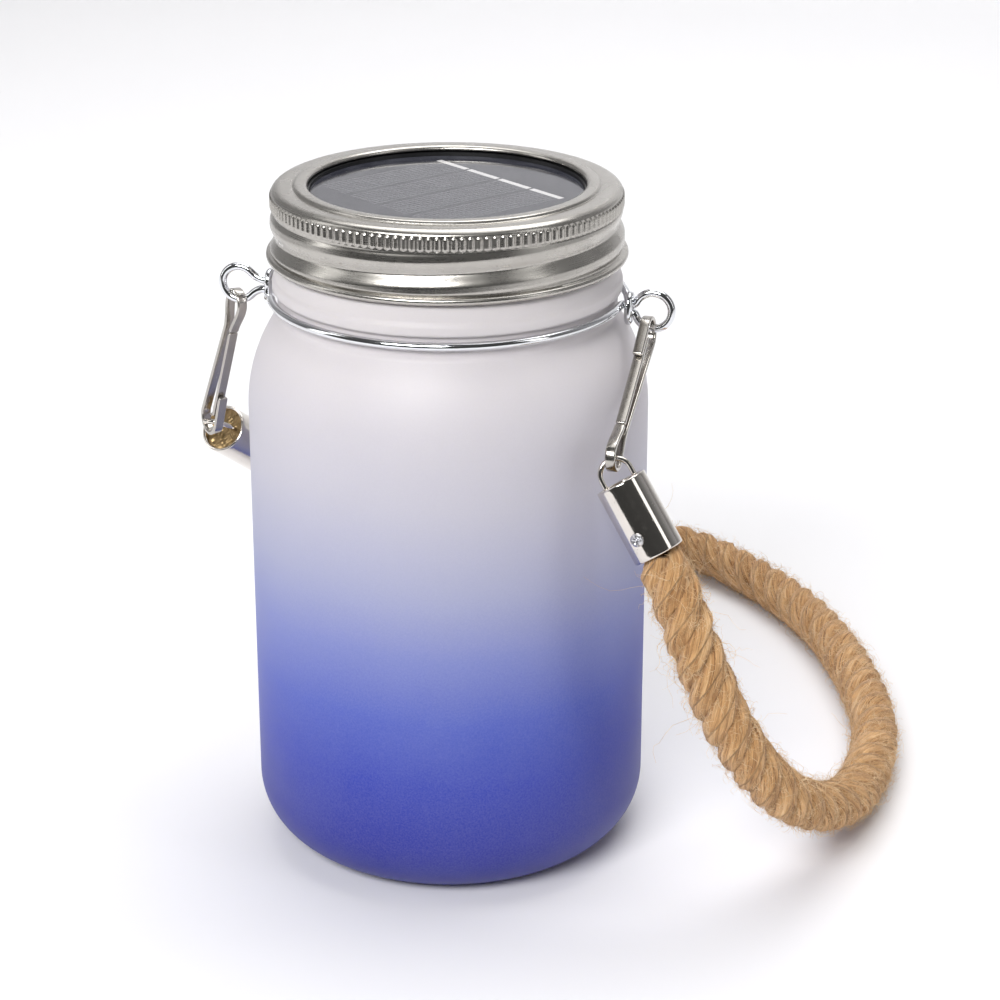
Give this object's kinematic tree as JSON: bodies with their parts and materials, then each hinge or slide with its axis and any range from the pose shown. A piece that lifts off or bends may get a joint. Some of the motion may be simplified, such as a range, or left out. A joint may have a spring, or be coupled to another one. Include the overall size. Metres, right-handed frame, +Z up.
{
  "type": "lantern",
  "caption": "Frosted blue mason jar lantern with a solar screw lid, wire neck hanger, snap clips and a jute rope carrying handle",
  "frame": {"origin": "middle of the jar's base, on the surface it stands on", "axes": "+Z up the jar's axis, -Y the front, +X towards the round loop of the neck hanger"},
  "size_m": [0.154, 0.2023, 0.146],
  "materials": {
    "glass": "acid-etched frosted glass, clear grey at the top fading to royal blue at the base",
    "band_steel": "satin rolled steel",
    "housing_plastic": "moulded",
    "panel_cell": "dark blue-grey silicon under clear resin with silver busbar",
    "board_green": "solder-masked board",
    "cell_wrap": "shrink wrap",
    "spring_brass": "plated strip",
    "led_clear": "water-clear resin",
    "cover_plastic": "translucent moulding",
    "zinc_steel": "zinc plated",
    "gasket_rubber": "soft white",
    "lead_plastic": "insulated lead",
    "switch_plastic": "moulded",
    "wire_chrome": "bright plated wire",
    "clip_nickel": "nickel plated strip, slightly dull",
    "cap_nickel": "polished nickel plated casting",
    "jute": "three-strand twisted jute, hairy"
  },
  "bodies": {
    "jar": {"glass_jar": "glass"},
    "lid": {"insert_housing": "housing_plastic", "solar_panel": "panel_cell", "circuit_board": "board_green", "rechargeable_cell": "cell_wrap", "battery_contacts": "spring_brass", "leds": "led_clear", "bottom_cover": "cover_plastic", "cover_screws": "zinc_steel", "lid_gasket": "gasket_rubber", "lead_wires": "lead_plastic"},
    "band": {"screw_band": "band_steel"},
    "switch": {"switch_slider": "switch_plastic"},
    "hanger": {"front_neck_wire": "wire_chrome", "rear_neck_wire": "wire_chrome"},
    "left_hook": {"left_clip": "clip_nickel"},
    "left_gate": {"left_clip_gate": "clip_nickel"},
    "right_hook": {"right_clip": "clip_nickel"},
    "right_gate": {"right_clip_gate": "clip_nickel"},
    "handle": {"left_end_cap": "cap_nickel", "right_end_cap": "cap_nickel", "left_cap_eye": "cap_nickel", "right_cap_eye": "cap_nickel", "left_cap_screw": "zinc_steel", "right_cap_screw": "zinc_steel", "rope": "jute"}
  },
  "joints": [
    {"name": "band_turn", "type": "hinge", "parent": "lid", "child": "band", "pos_m": [0, 0, 0.14], "axis": [0, 0, 1], "range_deg": [0, 1200]},
    {"name": "lid_lift", "type": "slide", "parent": "jar", "child": "lid", "axis": [0, 0, 1], "range_m": [0, 0.02127]},
    {"name": "switch_slide", "type": "slide", "parent": "lid", "child": "switch", "axis": [1, 0, 0], "range_m": [0, 0.003]},
    {"name": "hanger_turn", "type": "hinge", "parent": "jar", "child": "hanger", "pos_m": [0, 0, 0.1221], "axis": [0, 0, 1], "continuous": true},
    {"name": "left_clip_swing", "type": "hinge", "parent": "hanger", "child": "left_hook", "pos_m": [-0.0458, 0, 0.1176], "axis": [1, 0, 0], "range_deg": [0, 8]},
    {"name": "right_clip_swing", "type": "hinge", "parent": "hanger", "child": "right_hook", "pos_m": [0.0424, 0, 0.1172], "axis": [1, 0, 0], "range_deg": [0, 8]},
    {"name": "handle_lift", "type": "hinge", "parent": "left_hook", "child": "handle", "pos_m": [-0.0555, 0.0079, 0.0865], "axis": [0.9287, -0.3523, 0.1155], "range_deg": [0, 45]},
    {"name": "left_gate_press", "type": "hinge", "parent": "left_hook", "child": "left_gate", "pos_m": [-0.04821, 0.00066, 0.10982], "axis": [0.9545, -0.0204, -0.2974], "range_deg": [0, 7], "stiffness_Nm_per_rad": 0.05},
    {"name": "right_gate_press", "type": "hinge", "parent": "right_hook", "child": "right_gate", "pos_m": [0.04062, -0.022, 0.10388], "axis": [-0.9948, 0.098, -0.029], "range_deg": [0, 7], "stiffness_Nm_per_rad": 0.05}
  ],
  "couplings": [
    {"joint": "lid_lift", "follows": "band_turn", "m_per_rad": 0.0010106},
    {"joint": "right_clip_swing", "follows": "left_clip_swing", "ratio": 1}
  ]
}
